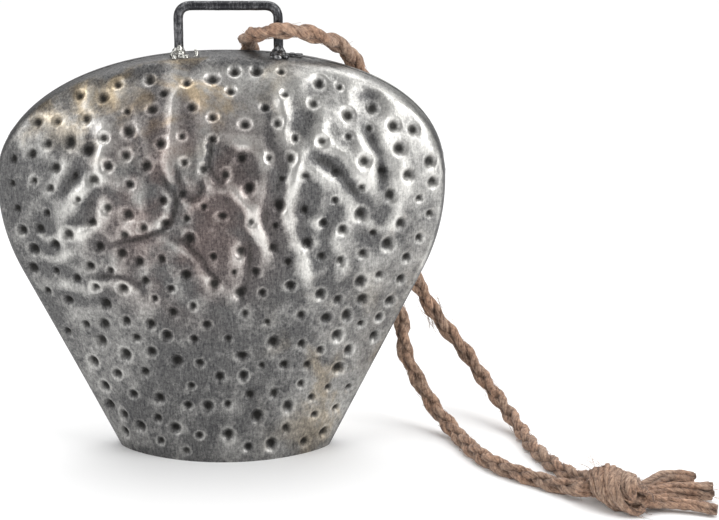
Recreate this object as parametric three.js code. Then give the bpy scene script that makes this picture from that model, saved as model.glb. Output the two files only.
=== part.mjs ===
// A hammered sheet-metal dinner bell: two pressed half shells brazed along a seam, a square wire
// handle welded to the crown, a ball clapper hung inside on a ring, and a loop of plaited jute
// hooked round the handle and knotted on the ground.
// Millimetres. +Z is up, the front face looks toward -Y, and the origin is the middle of the mouth.

import * as THREE from 'three';

// ---------------------------------------------------------------- driving dimensions

const sheet = 1.2;                  // thickness of the metal sheet
const seamGap = 0.3;                // clearance kept between pieces that touch
const seamStrip = 1.2;              // width of the brazed seam between the two rims
const rimFace = seamStrip / 2 + seamGap;

const mouthHalfWidth = 47.9;
const sideSlope = 0.504;            // how fast the straight sides widen with height
const bellyHeight = 124;            // height of the widest section
const bellyHalfWidth = 99.6;
const bellyRadius = 90;             // round stretch between the straight side and the widest point
const crownRise = 57.5;             // from the widest section up to the crown
const crownPower = 2.2;             // superellipse power of the crown's outline
const crownShift = 3.3;             // the hand-made crown leans a little to +X

const wallDepthMouth = 2;           // depth of the side wall of each pressed half, at the mouth
const wallDepthCrown = 7.5;         // and from the belly up
const wallFullHeight = 115;
const wallCorner = 3.5;             // width of the rounded corner from wall to face
const wallPower = 3;
const faceRiseMouth = 25.1;         // how far each face bulges past its wall
const faceRiseBelly = 27.6;
const faceFullHeight = 110;
const facePowerMouth = 0.78;
const facePowerHigh = 1;
const facePowerHeight = 60;

const handleWire = 2.1;             // radius of the handle's wire
const handleLeft = -18.1;
const handleRight = 25.8;
const handleBar = 201.8;            // height of the top bar's centre line
const handleFoot = 181.5;
const handleBend = 4.5;
const handleBead = { reach: 4.8, height: 3.6 };

const stapleWire = 1.5;
const stapleHalf = 8;
const stapleTop = 179.2;
const stapleBend = 3;
const stapleBead = { reach: 3.4, height: 2.4 };
const pivotHeight = 166;            // centre of the bar that the ring hangs on

const ringRadius = 6.2;
const ringWire = 1.3;
const rodWire = 1.6;
const eyeRadius = 5;
const runningGap = 0.4;
const ballHeight = 44;
const ballRadius = 10;

const cordRadius = 3;

// Heights that follow from those
const ringHeight = pivotHeight - (ringRadius - ringWire - stapleWire - runningGap);
const linkBow = ringHeight - ringRadius;              // where the rod's eye hangs on the ring
const eyeHeight = linkBow - (eyeRadius - rodWire - ringWire - runningGap);
const ballBottom = ballHeight - ballRadius;

// ---------------------------------------------------------------- materials

function metal(colour, roughness, metalness) {
  return new THREE.MeshStandardMaterial({ color: colour, roughness, metalness });
}

const pewter = metal(0x8d8a84, 0.42, 0.9);
const solder = metal(0xb9b7b0, 0.35, 0.9);
const darkSteel = metal(0x55565a, 0.5, 0.85);
const iron = metal(0x4a4846, 0.6, 0.8);
const jute = new THREE.MeshStandardMaterial({ color: 0xa57f66, roughness: 0.95, metalness: 0 });

const bell = new THREE.Group();

function add(name, geometry, material) {
  const mesh = new THREE.Mesh(geometry, material);
  mesh.name = name;
  bell.add(mesh);
  return mesh;
}

// ---------------------------------------------------------------- the bell's shape

function smooth(value) {
  const t = Math.min(Math.max(value, 0), 1);
  return t * t * (3 - 2 * t);
}

function mix(low, high, t) {
  return low + (high - low) * t;
}

// The outline, moved inward by an inset that is even all the way round.
function outlineOf(inset) {
  return {
    mouth: mouthHalfWidth - inset * Math.hypot(1, sideSlope),
    width: bellyHalfWidth - inset,
    rise: crownRise - inset,
    radius: bellyRadius - inset,
  };
}

// Half the width and its change with height, from the mouth up to the belly.
function sideAt(z, outline) {
  const slopeAngle = Math.atan(sideSlope);
  const straightTop = bellyHeight - outline.radius * Math.sin(slopeAngle);
  if (z <= straightTop) {
    return { half: outline.mouth + sideSlope * z, change: sideSlope };
  }
  const below = bellyHeight - z;
  const reach = Math.sqrt(outline.radius ** 2 - below ** 2);
  return { half: outline.width - outline.radius + reach, change: below / reach };
}

// How near a point is to the outline: the fraction of the way out, and the distance left.
function nearness(x, z, outline) {
  const across = Math.abs(x);
  if (z <= bellyHeight) {
    const side = sideAt(z, outline);
    const out = across / side.half;
    const steepness = Math.hypot(1, out * side.change) / side.half;
    return { out, left: (1 - out) / steepness };
  }
  const u = across / outline.width;
  const v = (z - bellyHeight) / outline.rise;
  const out = (u ** crownPower + v ** crownPower) ** (1 / crownPower);
  const scale = Math.max(out, 1e-6) ** (1 - crownPower);
  const acrossPull = u ** (crownPower - 1) / outline.width;
  const upPull = v ** (crownPower - 1) / outline.rise;
  const steepness = scale * Math.hypot(acrossPull, upPull);
  return { out, left: (1 - out) / Math.max(steepness, 1e-6) };
}

// Depth of one half shell, measured from its rim: a rounded wall and then the bulging face.
function depthAt(x, z, outline, inset) {
  const near = nearness(x, z, outline);
  const wall = mix(wallDepthMouth, wallDepthCrown, smooth(z / wallFullHeight)) - inset;
  const corner = 1 - Math.min(Math.max(near.left, 0) / wallCorner, 1);
  const turned = (1 - corner ** wallPower) ** (1 / wallPower);
  const face = mix(faceRiseMouth, faceRiseBelly, smooth(z / faceFullHeight));
  const power = mix(facePowerMouth, facePowerHigh, smooth(z / facePowerHeight));
  const bulge = Math.max(1 - near.out ** 2, 0) ** power;
  return wall * turned + face * bulge;
}

// Above the belly the outline leans a little to one side.
function leanAt(z) {
  return crownShift * smooth((z - bellyHeight) / crownRise);
}

// The horizontal sections of one surface, from the mouth up, without the point at the crown.
function sectionsOf(outline) {
  const lowRows = 10;
  const highRows = 15;
  const rows = [];
  for (let i = 0; i < lowRows; i += 1) {
    const z = bellyHeight * i / lowRows;
    rows.push({ z, half: sideAt(z, outline).half });
  }
  for (let i = 0; i < highRows; i += 1) {
    const turn = Math.PI / 2 * i / highRows;
    rows.push({
      z: bellyHeight + outline.rise * Math.sin(turn) ** (2 / crownPower),
      half: outline.width * Math.cos(turn) ** (2 / crownPower),
    });
  }
  return rows;
}

// One pressed half: an outer and an inner surface of sections, joined along the rim and the mouth.
function halfShell(side) {
  const columns = 30;
  const positions = [];
  const triangles = [];

  function surface(inset) {
    const outline = outlineOf(inset);
    const rows = sectionsOf(outline).map(({ z, half }) => {
      const row = [];
      for (let i = 0; i <= columns; i += 1) {
        const x = -half * Math.cos(Math.PI * i / columns);
        const edge = i === 0 || i === columns;
        const depth = edge ? 0 : depthAt(x, z, outline, inset);
        row.push(positions.length / 3);
        positions.push(x + leanAt(z), side * (rimFace + depth), z);
      }
      return row;
    });
    const top = bellyHeight + outline.rise;
    const crown = positions.length / 3;
    positions.push(leanAt(top), side * rimFace, top);
    return { rows, crown };
  }

  function triangle(a, b, c) {
    if (side < 0) {
      triangles.push(a, b, c);
    } else {
      triangles.push(a, c, b);
    }
  }

  function quad(a, b, c, d) {
    triangle(a, b, c);
    triangle(a, c, d);
  }

  function skin({ rows, crown }, outward) {
    for (let r = 0; r < rows.length; r += 1) {
      const low = rows[r];
      const high = rows[r + 1];
      for (let i = 0; i < columns; i += 1) {
        if (!high) {
          outward ? triangle(low[i], low[i + 1], crown) : triangle(low[i + 1], low[i], crown);
        } else if (outward) {
          quad(low[i], low[i + 1], high[i + 1], high[i]);
        } else {
          quad(low[i + 1], low[i], high[i], high[i + 1]);
        }
      }
    }
  }

  function rim(outer, inner, column) {
    for (let r = 0; r < outer.rows.length; r += 1) {
      const a = outer.rows[r][column];
      const b = outer.rows[r + 1] ? outer.rows[r + 1][column] : outer.crown;
      const c = inner.rows[r + 1] ? inner.rows[r + 1][column] : inner.crown;
      const d = inner.rows[r][column];
      column === 0 ? quad(a, b, c, d) : quad(b, a, d, c);
    }
  }

  function mouth(outer, inner) {
    for (let i = 0; i < columns; i += 1) {
      quad(outer.rows[0][i + 1], outer.rows[0][i], inner.rows[0][i], inner.rows[0][i + 1]);
    }
  }

  const outer = surface(0);
  const inner = surface(sheet);
  skin(outer, true);
  skin(inner, false);
  rim(outer, inner, 0);
  rim(outer, inner, columns);
  mouth(outer, inner);
  return solid(positions, triangles);
}

function solid(positions, triangles) {
  const geometry = new THREE.BufferGeometry();
  geometry.setAttribute('position', new THREE.Float32BufferAttribute(positions, 3));
  geometry.setIndex(triangles);
  geometry.computeVertexNormals();
  return geometry;
}

// The brazed strip between the two rims, following the outline from one mouth corner to the other.
function seam() {
  const outerOutline = outlineOf(0);
  const innerOutline = outlineOf(sheet);
  const outer = sectionsOf(outerOutline);
  const inner = sectionsOf(innerOutline);
  const stations = [];
  for (let i = 0; i < outer.length; i += 1) {
    stations.push([-outer[i].half, outer[i].z, -inner[i].half, inner[i].z]);
  }
  stations.push([0, bellyHeight + outerOutline.rise, 0, bellyHeight + innerOutline.rise]);
  for (let i = outer.length - 1; i >= 0; i -= 1) {
    stations.push([outer[i].half, outer[i].z, inner[i].half, inner[i].z]);
  }
  const half = seamStrip / 2;
  const positions = [];
  for (const [outX, outZ, inX, inZ] of stations) {
    const outLean = outX + leanAt(outZ);
    const inLean = inX + leanAt(inZ);
    positions.push(outLean, -half, outZ, outLean, half, outZ, inLean, half, inZ, inLean, -half, inZ);
  }
  const triangles = [];
  for (let s = 0; s < stations.length - 1; s += 1) {
    for (let k = 0; k < 4; k += 1) {
      const a = 4 * s + k;
      const b = 4 * s + (k + 1) % 4;
      triangles.push(a, a + 4, b, b, a + 4, b + 4);
    }
  }
  const last = 4 * (stations.length - 1);
  triangles.push(0, 1, 2, 0, 2, 3);
  triangles.push(last, last + 2, last + 1, last, last + 3, last + 2);
  return solid(positions, triangles);
}

// ---------------------------------------------------------------- wires, rings and turned pieces

function disc(radius, sides) {
  const shape = new THREE.Shape();
  for (let i = 0; i < sides; i += 1) {
    const turn = 2 * Math.PI * (i + 0.5) / sides;
    const x = radius * Math.cos(turn);
    const y = radius * Math.sin(turn);
    i === 0 ? shape.moveTo(x, y) : shape.lineTo(x, y);
  }
  shape.closePath();
  return shape;
}

function wire(path, radius, sides, steps) {
  return new THREE.ExtrudeGeometry(disc(radius, sides), { steps, extrudePath: path, bevelEnabled: false });
}

// Straight runs between corner points, with each corner rounded.
function bentPath(corners, bend) {
  const path = new THREE.CurvePath();
  let start = corners[0];
  for (let i = 1; i < corners.length - 1; i += 1) {
    const corner = corners[i];
    const before = corner.clone().lerp(corners[i - 1], bend / corner.distanceTo(corners[i - 1]));
    const after = corner.clone().lerp(corners[i + 1], bend / corner.distanceTo(corners[i + 1]));
    path.add(new THREE.LineCurve3(start, before));
    path.add(new THREE.QuadraticBezierCurve3(before, corner, after));
    start = after;
  }
  path.add(new THREE.LineCurve3(start, corners[corners.length - 1]));
  return path;
}

function squareBow(left, right, footHeight, barHeight, bend) {
  return bentPath([
    new THREE.Vector3(left, 0, footHeight),
    new THREE.Vector3(left, 0, barHeight),
    new THREE.Vector3(right, 0, barHeight),
    new THREE.Vector3(right, 0, footHeight),
  ], bend);
}

// A turned piece whose profile is given as [radius, height] pairs, standing on Z.
function turned(profile, sides) {
  const points = profile.map(([radius, height]) => new THREE.Vector2(radius, height));
  const geometry = new THREE.LatheGeometry(points, sides);
  geometry.rotateX(Math.PI / 2);
  return geometry;
}

// A bead of weld round the foot of a wire: a low fillet with a hole for the wire.
function weldBead(hole, { reach, height }) {
  return turned([
    [hole, 0],
    [reach, 0],
    [reach * 0.96, height * 0.28],
    [hole + (reach - hole) * 0.45, height * 0.62],
    [hole + (reach - hole) * 0.18, height],
    [hole, height],
    [hole, 0],
  ], 20);
}

// ---------------------------------------------------------------- shells, seam and handle

add('front_shell', halfShell(-1), pewter);
add('back_shell', halfShell(1), pewter);
add('seam_braze', seam(), solder);

const handlePath = squareBow(handleLeft, handleRight, handleFoot, handleBar, handleBend);
add('handle_wire', wire(handlePath, handleWire, 12, 44), darkSteel);

for (const [name, x] of [['handle_weld_left', handleLeft], ['handle_weld_right', handleRight]]) {
  const bead = add(name, weldBead(handleWire + seamGap, handleBead), solder);
  bead.position.set(x, 0, handleFoot);
}

// ---------------------------------------------------------------- clapper and what it hangs on

const staplePath = squareBow(-stapleHalf, stapleHalf, stapleTop, pivotHeight, stapleBend);
add('clapper_staple', wire(staplePath, stapleWire, 10, 30), iron);

for (const [name, x] of [['staple_weld_left', -stapleHalf], ['staple_weld_right', stapleHalf]]) {
  const bead = add(name, weldBead(stapleWire + seamGap, stapleBead), solder);
  bead.rotation.x = Math.PI;
  bead.position.set(x, 0, stapleTop);
}

const ring = add('hanger_ring', new THREE.TorusGeometry(ringRadius, ringWire, 10, 30), iron);
ring.rotation.y = Math.PI / 2;
ring.position.set(0, 0, ringHeight);

// The rod is one wire: straight down to the ball, with its top end bent round into an open eye.
function rodPath() {
  const rodEnd = ballBottom + 0.1;
  const neck = eyeHeight - 2 * eyeRadius;
  const points = [new THREE.Vector3(0, 0, rodEnd)];
  const straightSteps = 12;
  for (let i = 1; i <= straightSteps; i += 1) {
    points.push(new THREE.Vector3(0, 0, mix(rodEnd, neck, i / straightSteps)));
  }
  const eyeStart = 228;
  const eyeEnd = -52;
  for (let degrees = eyeStart; degrees >= eyeEnd; degrees -= 20) {
    const turn = degrees * Math.PI / 180;
    points.push(new THREE.Vector3(eyeRadius * Math.cos(turn), 0, eyeHeight + eyeRadius * Math.sin(turn)));
  }
  return new THREE.CatmullRomCurve3(points);
}

add('clapper_rod', wire(rodPath(), rodWire, 10, 60), darkSteel);

function ballProfile() {
  const bore = rodWire + seamGap;
  const edge = Math.acos(bore / ballRadius);
  const steps = 14;
  const profile = [];
  for (let i = 0; i <= steps; i += 1) {
    const turn = mix(-edge, edge, i / steps);
    profile.push([ballRadius * Math.cos(turn), ballRadius * Math.sin(turn)]);
  }
  profile.push(profile[0]);
  return profile;
}

const ball = add('clapper_ball', turned(ballProfile(), 28), iron);
ball.position.set(0, 0, ballHeight);

// The rod's end is peened over into a button under the ball.
const peenProfile = [[0, -2.2], [2, -1.8], [3.2, -0.6], [3.2, 0], [0, 0]];
const peen = add('clapper_peen', turned(peenProfile, 18), darkSteel);
peen.position.set(0, 0, ballBottom - seamGap);

// ---------------------------------------------------------------- the jute cord

// The cord's free route, from the knot along the ground, up behind the bell, through the handle,
// round the front of its right leg, over the right shoulder and back down to the knot.
const cordRoute = [
  [158.2, -78.2, 6],
  [150.5, -70.5, 4],
  [140, -60, 3.2],
  [127.6, -47.6, 3.2],
  [118, -33.3, 3.2],
  [112.4, -19.9, 3.2],
  [108, -6.2, 3.4],
  [103.3, 7, 5],
  [97, 16, 10],
  [91.2, 21, 18.1],
  [86.4, 24.5, 26.7],
  [82.4, 27, 35.7],
  [80.7, 29.5, 50],
  [73, 34.5, 74],
  [61, 38.5, 98],
  [48, 40, 120],
  [35.5, 38, 140],
  [24, 31.5, 158],
  [15.5, 23, 172.5],
  [11.5, 14, 182.8],
  [12.6, 6, 186.5],
  [17.8, -2.5, 189.8],
  [25.8, -5.8, 191.6],
  [34, -4.6, 191.2],
  [43.5, -0.6, 188.2],
  [52, 6, 183.4],
  [59, 14.5, 174],
  [69.5, 31, 143],
  [78, 41, 115],
  [84.5, 48, 82],
  [87.8, 50.5, 64.5],
  [93.5, 52.5, 52.5],
  [100.5, 52.5, 41.5],
  [110.8, 48, 29.5],
  [120.5, 37.5, 17.8],
  [129.8, 21, 8.6],
  [135.6, 6, 4],
  [141, -20, 3.2],
  [152, -51, 3.5],
  [162.9, -72.2, 7.4],
];

function curveThrough(points) {
  const vectors = points.map(([x, y, z]) => new THREE.Vector3(x, y, z));
  return new THREE.CatmullRomCurve3(vectors, false, 'centripetal');
}

const cordSides = 8;
const cordSteps = 78;
add('cord', wire(curveThrough(cordRoute), cordRadius, cordSides, cordSteps), jute);

// The overhand knot that ties both ends, as the plain lump that it fills: a bar with round ends.
const knotStart = new THREE.Vector3(166.5, -80, 9.6);
const knotEnd = new THREE.Vector3(177, -91, 7.6);
const knotRadius = 7.3;

function knotProfile() {
  const half = knotStart.distanceTo(knotEnd) / 2;
  const steps = 12;
  const profile = [];
  for (let i = 0; i <= steps; i += 1) {
    const turn = mix(-Math.PI / 2, Math.PI / 2, i / steps);
    const radius = i % steps === 0 ? 0 : knotRadius * Math.cos(turn);
    if (2 * i === steps) {
      profile.push([radius, -half], [radius, half]);
    } else {
      profile.push([radius, Math.sign(turn) * half + knotRadius * Math.sin(turn)]);
    }
  }
  return profile;
}

const knot = add('cord_knot', turned(knotProfile(), 18), jute);
knot.quaternion.setFromUnitVectors(new THREE.Vector3(0, 0, 1), knotEnd.clone().sub(knotStart).normalize());
knot.position.copy(knotStart).lerp(knotEnd, 0.5);

// Beyond the knot the plait is undone into three bundles of loose strands.
const tailSides = 10;
const tailSteps = 10;
const tails = {
  cord_tail_upper: {
    radius: 1.9,
    points: [[183.2, -83.5, 9.6], [191.5, -73, 9.4], [199, -67, 8.4], [206.5, -62.5, 6]],
  },
  cord_tail_middle: {
    radius: 3.1,
    points: [[185.5, -85.6, 5.6], [194, -80, 5], [203, -77, 4.2], [214, -76.5, 4.2]],
  },
  cord_tail_lower: {
    radius: 2.3,
    points: [[184.5, -92.5, 3.4], [193, -91.5, 2.6], [203, -94, 2.6], [212.5, -98, 2.6]],
  },
};

for (const [name, { radius, points }] of Object.entries(tails)) {
  add(name, wire(curveThrough(points), radius, tailSides, tailSteps), jute);
}

export default bell;
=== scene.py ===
# %% [markdown]
# # A hammered dinner bell on a jute loop
#
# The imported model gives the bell's exact shape and places: two half shells, a seam, a wire handle, a
# clapper, and the line of a cord. This notebook gives each piece the surface of the real thing. The
# sheet gets its punched dents, its creases and a dark pewter patina, the wire its welds, and the cord
# becomes plaited jute with a tight knot.

# %% Load the frame
import math

import bpy
import numpy as np
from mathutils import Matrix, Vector


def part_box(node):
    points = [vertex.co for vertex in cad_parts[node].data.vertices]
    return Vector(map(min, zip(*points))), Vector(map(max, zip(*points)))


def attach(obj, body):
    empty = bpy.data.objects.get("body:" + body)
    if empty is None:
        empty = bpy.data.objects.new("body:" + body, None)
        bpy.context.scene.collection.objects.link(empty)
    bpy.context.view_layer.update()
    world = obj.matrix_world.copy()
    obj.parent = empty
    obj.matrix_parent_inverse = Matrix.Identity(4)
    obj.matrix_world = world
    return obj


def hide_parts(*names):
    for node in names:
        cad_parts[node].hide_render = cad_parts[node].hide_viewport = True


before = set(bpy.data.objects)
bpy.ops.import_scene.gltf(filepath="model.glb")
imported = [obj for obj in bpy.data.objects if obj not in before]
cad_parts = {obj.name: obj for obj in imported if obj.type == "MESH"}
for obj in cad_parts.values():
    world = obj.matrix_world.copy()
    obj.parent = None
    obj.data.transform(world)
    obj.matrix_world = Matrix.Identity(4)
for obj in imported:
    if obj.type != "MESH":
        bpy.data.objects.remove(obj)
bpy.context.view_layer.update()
MM = 0.001

# %% [markdown]
# ## Small tools
#
# A surface is worked out as whole numpy arrays of points, so all that Blender has to do is turn such
# a grid into a mesh. Modelling tools could pull the same shapes, but a formula says how each one is
# made, and it gives every point the masks that the materials read later.

# %% Steps and smooth random patterns
def smooth(value):
    """A smooth step: 0 below 0, 1 above 1, and 3t2 - 2t3 between."""
    t = np.clip(value, 0.0, 1.0)
    return t * t * (3.0 - 2.0 * t)


def mix(low, high, t):
    """The value a fraction t of the way from low to high."""
    return low + (high - low) * t


def hills(u, v, seed):
    """Smooth random hills about one unit wide: random heights from -1 to 1 at whole numbers of u and
    v, blended by smooth steps between them."""
    lattice = np.random.default_rng(seed).uniform(-1.0, 1.0, (64, 64))
    cell_u, cell_v = np.floor(u).astype(int), np.floor(v).astype(int)
    s, t = smooth(u - cell_u), smooth(v - cell_v)
    low = mix(lattice[cell_u % 64, cell_v % 64], lattice[(cell_u + 1) % 64, cell_v % 64], s)
    high = mix(lattice[cell_u % 64, (cell_v + 1) % 64], lattice[(cell_u + 1) % 64, (cell_v + 1) % 64], s)
    return mix(low, high, t)


print("a smooth step from 0 to 1 in quarters:", smooth(np.linspace(0.0, 1.0, 5)).round(3).tolist())


# %% Grids into meshes
def grid_faces(rows, columns, around=False):
    """Quads of a grid of points numbered row by row; around joins the last column to the first."""
    r = np.arange(rows - 1)[:, None]
    c = np.arange(columns if around else columns - 1)[None, :]
    c_next = (c + 1) % columns
    corners = [r * columns + c, r * columns + c_next, (r + 1) * columns + c_next, (r + 1) * columns + c]
    return np.stack(corners, axis=-1).reshape(-1, 4)


def make_piece(name, points, faces, body, values=None, vectors=None, sharp=60.0):
    """A smooth-shaded piece from an (n, 3) array of points and a list of arrays of faces. values and
    vectors are numbers for each point, which materials read as attributes. Edges that turn by more
    than the sharp angle stay crisp."""
    mesh = bpy.data.meshes.new(name)
    mesh.from_pydata(points.tolist(), [], [face for group in faces for face in group.tolist()])
    for label, numbers in (values or {}).items():
        mesh.attributes.new(label, "FLOAT", "POINT").data.foreach_set("value", numbers.ravel())
    for label, numbers in (vectors or {}).items():
        mesh.attributes.new(label, "FLOAT_VECTOR", "POINT").data.foreach_set("vector", numbers.ravel())
    mesh.shade_smooth()
    mesh.set_sharp_from_angle(angle=math.radians(sharp))
    piece = bpy.data.objects.new(name, mesh)
    bpy.context.scene.collection.objects.link(piece)
    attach(piece, body)
    print(name, len(points), "points,", len(mesh.polygons), "faces")
    return piece


# %% [markdown]
# ## Camera
#
# The bell is seen from straight in front and a little above, from far enough away that its sides
# hardly converge. A long lens at just over a metre gives that. The aim is to the right of the bell,
# so that the cord's tails come into view.

# %% Camera
view_height = math.radians(15.0)
view_distance = 1.1
view_width = 323.55 * MM
aim = Vector((61.4 * MM, 0.0, 86.4 * MM))

camera = bpy.data.objects.new("camera", bpy.data.cameras.new("camera"))
bpy.context.scene.collection.objects.link(camera)
camera.data.sensor_width = 36.0
camera.data.lens = camera.data.sensor_width * view_distance / view_width
camera.location = aim + view_distance * Vector((0.0, -math.cos(view_height), math.sin(view_height)))
camera.rotation_euler = (math.pi / 2 - view_height, 0.0, 0.0)
bpy.context.scene.camera = camera
print("lens", round(camera.data.lens, 1), "mm")

# %% [markdown]
# ## The cord's route
#
# The cord is one loop. From the knot it runs along the ground and up behind the bell, comes through
# the handle, passes round the front of the handle's right leg, and goes over the shoulder and back
# down to the knot. The route is a list of points, with a smooth curve through them, because there
# is no simple formula for how a stiff jute plait falls.

# %% Route of the cord, in metres
cord_route = np.array([
    [0.1582, -0.0782, 0.0060], [0.1505, -0.0705, 0.0040], [0.1400, -0.0600, 0.0032],
    [0.1276, -0.0476, 0.0032], [0.1180, -0.0333, 0.0032], [0.1124, -0.0199, 0.0032],
    [0.1080, -0.0062, 0.0034], [0.1033, 0.0070, 0.0050], [0.0970, 0.0160, 0.0100],
    [0.0912, 0.0210, 0.0181], [0.0864, 0.0245, 0.0267], [0.0824, 0.0270, 0.0357],
    [0.0807, 0.0295, 0.0500], [0.0730, 0.0345, 0.0740], [0.0610, 0.0385, 0.0980],
    [0.0480, 0.0400, 0.1200], [0.0355, 0.0380, 0.1400], [0.0240, 0.0315, 0.1580],
    [0.0155, 0.0230, 0.1725], [0.0115, 0.0140, 0.1828], [0.0126, 0.0060, 0.1865],
    [0.0178, -0.0025, 0.1898], [0.0258, -0.0058, 0.1916], [0.0340, -0.0046, 0.1912],
    [0.0435, -0.0006, 0.1882], [0.0520, 0.0060, 0.1834], [0.0590, 0.0145, 0.1740],
    [0.0695, 0.0310, 0.1430], [0.0780, 0.0410, 0.1150], [0.0845, 0.0480, 0.0820],
    [0.0878, 0.0505, 0.0645], [0.0935, 0.0525, 0.0525], [0.1005, 0.0525, 0.0415],
    [0.1108, 0.0480, 0.0295], [0.1205, 0.0375, 0.0178], [0.1298, 0.0210, 0.0086],
    [0.1356, 0.0060, 0.0040], [0.1410, -0.0200, 0.0032], [0.1520, -0.0510, 0.0035],
    [0.1629, -0.0722, 0.0074],
])


def length_along(line):
    """The distance run at each point of a line."""
    return np.concatenate([[0.0], np.cumsum(np.linalg.norm(np.diff(line, axis=0), axis=1))])


def heading_along(line):
    """The direction of a line at each of its points, as unit vectors."""
    heading = np.gradient(line, axis=0)
    return heading / np.linalg.norm(heading, axis=1, keepdims=True)


def even_steps(line, spacing):
    """The same line cut into even steps of about the spacing."""
    run = length_along(line)
    stops = np.linspace(0.0, run[-1], int(round(run[-1] / spacing)) + 1)
    return np.stack([np.interp(stops, run, line[:, k]) for k in range(3)], axis=1)


def curve_through(points, spacing, between=40):
    """The centripetal Catmull-Rom curve through the points, worked out at a number of places between
    each two of them and then cut into even steps of about the spacing."""
    ends = np.vstack([2 * points[0] - points[1], points, 2 * points[-1] - points[-2]])
    p0, p1, p2, p3 = ends[:-3, None], ends[1:-2, None], ends[2:-1, None], ends[3:, None]
    t1 = np.linalg.norm(p1 - p0, axis=-1, keepdims=True) ** 0.5
    t2 = t1 + np.linalg.norm(p2 - p1, axis=-1, keepdims=True) ** 0.5
    t3 = t2 + np.linalg.norm(p3 - p2, axis=-1, keepdims=True) ** 0.5
    t = t1 + (t2 - t1) * np.linspace(0.0, 1.0, between, endpoint=False)[None, :, None]
    a1 = (t1 - t) / t1 * p0 + t / t1 * p1
    a2 = (t2 - t) / (t2 - t1) * p1 + (t - t1) / (t2 - t1) * p2
    a3 = (t3 - t) / (t3 - t2) * p2 + (t - t2) / (t3 - t2) * p3
    b1 = (t2 - t) / t2 * a1 + t / t2 * a2
    b2 = (t3 - t) / (t3 - t1) * a2 + (t - t1) / (t3 - t1) * a3
    line = ((t2 - t) / (t2 - t1) * b1 + (t - t1) / (t2 - t1) * b2).reshape(-1, 3)
    return even_steps(np.vstack([line, points[-1]]), spacing)


def frames_along(line, first_side):
    """The heading and two sideways directions at each point, carried along without needless twist."""
    heading = heading_along(line)
    side = np.empty_like(heading)
    current = np.asarray(first_side, float)
    for i, along in enumerate(heading):
        current = current - along * np.dot(current, along)
        current = current / np.linalg.norm(current)
        side[i] = current
    return heading, side, np.cross(heading, side)


cord_step = 0.75 * MM
cord_line = curve_through(cord_route, cord_step)

# %% [markdown]
# ## Plaited jute
#
# Three thick yarns are plaited: each swings from side to side, and over and under the other two.
# Along the cord a yarn's sideways place follows a sine, and its height a sine at twice the rate, with
# the yarns a third of a turn apart. Each yarn is twisted from plies, which show as slow spiral
# ridges. Carrying a lobed section along those paths gives the plait as real geometry, where a
# pattern painted on a tube would stay flat.

# %% Yarns and plaits
upright = (0.0, 0.0, 1.0)


def tube(line, side, up, around, reach):
    """A tube along a line, closed at its ends: round each point of the line a ring of points, which
    stand at the angles around and at the distances reach. Gives points and faces."""
    rings = (line[:, None, :] + (reach * np.cos(around))[..., None] * side[:, None, :]
             + (reach * np.sin(around))[..., None] * up[:, None, :])
    sides = around.shape[1]
    first_cap = np.arange(sides)[None, ::-1]
    last_cap = (len(line) - 1) * sides + np.arange(sides)[None, :]
    return rings.reshape(-1, 3), [grid_faces(len(line), sides, around=True), first_cap, last_cap]


def yarn(line, first_side, radius, seed, plies=3, ply_pitch=18.0 * MM, sides=18, blunt=0.0):
    """A twisted yarn round a line: a round section with ply lobes that turn along the length, and
    small uneven swellings. blunt is how much each end narrows. Gives points, faces and, for the
    material, each point's place among the fibres: two across the yarn and one along it."""
    _, side, up = frames_along(line, first_side)
    run = length_along(line)[:, None]
    around = np.linspace(0.0, 2.0 * np.pi, sides, endpoint=False)[None, :]
    turn = around - 2.0 * np.pi * run / ply_pitch - seed
    lobes = 0.19 * (np.abs(np.cos(0.5 * plies * turn)) - 0.64)
    lumps = 0.08 * hills(run / (3.2 * MM) + seed, 3.0 + 2.2 * np.cos(turn), seed)
    lumps = lumps + 0.07 * hills(run / (2.2 * MM) + seed, 9.0 + 5.0 * np.sin(turn), seed + 2)
    swell = 0.08 * hills(run / (7.0 * MM) + 9.0, 2.5 + seed + 0.0 * run, seed + 5)
    to_end = np.minimum(run, run[-1] - run)
    narrowing = 1.0 - blunt * (1.0 - smooth(to_end / (2.0 * radius)))
    points, faces = tube(line, side, up, around, radius * (1.0 + lobes + lumps + swell) * narrowing)
    fibre = np.stack([np.cos(turn), np.sin(turn), run / (4.0 * MM) + 3.1 * seed + 0.0 * turn], axis=-1)
    return points, faces, fibre.reshape(-1, 3)


def join_parts(parts):
    """Several (points, faces, fibre) parts as one, with the faces of later parts renumbered."""
    faces = []
    count = 0
    for part_points, part_faces, _ in parts:
        faces += [group + count for group in part_faces]
        count += len(part_points)
    return np.vstack([part[0] for part in parts]), faces, np.vstack([part[2] for part in parts])


def plait_lines(line, first_side, pitch, wide, deep, seed):
    """The three yarn lines of a plait: sideways sin a, over and under sin 2a, a third of a turn
    apart, with the sideways swing a little uneven."""
    _, side, up = frames_along(line, first_side)
    run = length_along(line)
    lines = []
    for k in range(3):
        turn = 2.0 * np.pi * (run / pitch + k / 3.0)
        uneven = 1.0 + 0.15 * hills(run / (13.0 * MM) + 5.0, 1.5 + 2 * k + 0.0 * run, seed + k)
        lines.append(line + (uneven * wide * np.sin(turn))[:, None] * side
                     + (deep * np.sin(2.0 * turn))[:, None] * up)
    return lines


def plait(line, first_side, seed, yarn_radius, swing_wide, swing_deep, pitch):
    """The three twisted yarns of one plait."""
    lines = plait_lines(line, first_side, pitch, swing_wide, swing_deep, seed)
    return [yarn(strand, upright, yarn_radius, seed + 3 * k) for k, strand in enumerate(lines)]


# %% The loop
# The jute material darkens points where this is low, as painted shade between the yarns.
def openness(points, line, deep, shallow):
    """For each point, 0 where it lies deep between the yarns and 1 on the outside of the bundle,
    from its distance to the bundle's line."""
    nearest = np.full(len(points), np.inf)
    for spot in line[::3]:
        np.minimum(nearest, np.sum((points - spot) ** 2, axis=1), out=nearest)
    return smooth((np.sqrt(nearest) - deep) / (shallow - deep))


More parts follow.
